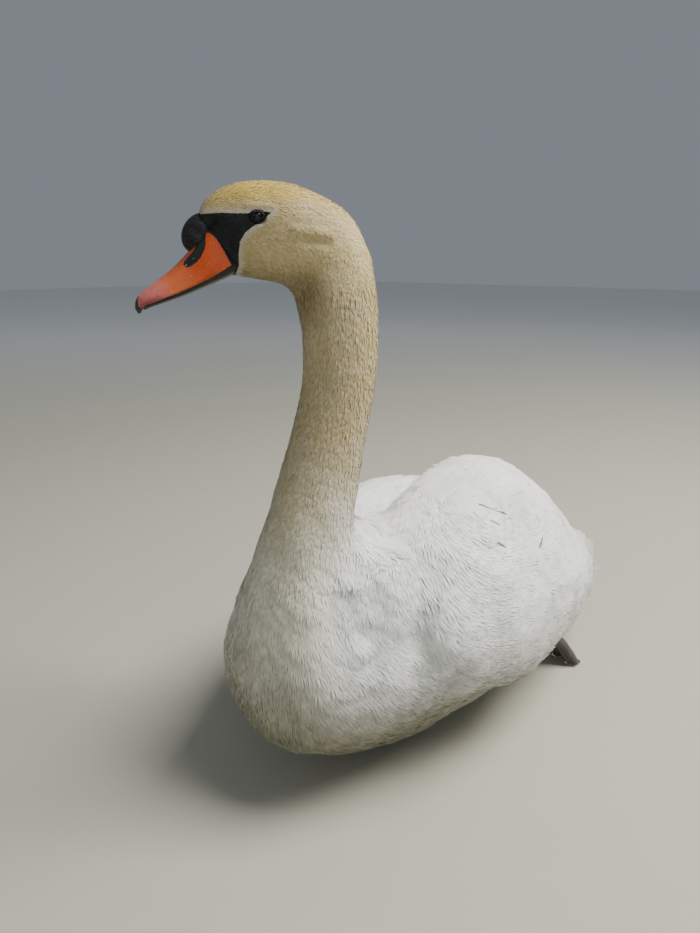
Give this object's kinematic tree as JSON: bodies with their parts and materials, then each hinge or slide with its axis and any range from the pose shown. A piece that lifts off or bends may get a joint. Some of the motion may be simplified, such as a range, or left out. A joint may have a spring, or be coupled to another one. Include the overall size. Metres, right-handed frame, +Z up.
{
  "type": "resting mute swan model",
  "caption": "Life-size mute swan resting on its belly, neck upright and head turned to its right, wings folded, for still display on a level floor.",
  "frame": {"origin": "on the floor, in the middle of the flat of the belly that the bird rests on", "axes": "+Z up, -Y the way the trunk faces, +X the bird's left side"},
  "size_m": [0.3142, 0.7411, 0.5613],
  "materials": {
    "white_feathers": "soft white contour feathers",
    "cream_feathers": "short cream and buff feathers of the head and neck",
    "orange_bill": "horny orange sheath, pinker towards the tip",
    "black_skin": "bare black skin and horn",
    "slate_foot": "dark grey scaly skin and web",
    "eye": "wet dark brown eye"
  },
  "bodies": {
    "root": {"head": "cream_feathers", "neck_upper": "cream_feathers", "neck_lower": "cream_feathers", "trunk": "white_feathers", "tail": "white_feathers", "wing_left": "white_feathers", "wing_right": "white_feathers", "leg_left": "slate_foot", "leg_right": "slate_foot", "bill_upper": "orange_bill", "bill_lower": "black_skin", "knob": "black_skin", "eye_left": "eye", "eye_right": "eye"}
  },
  "joints": []
}
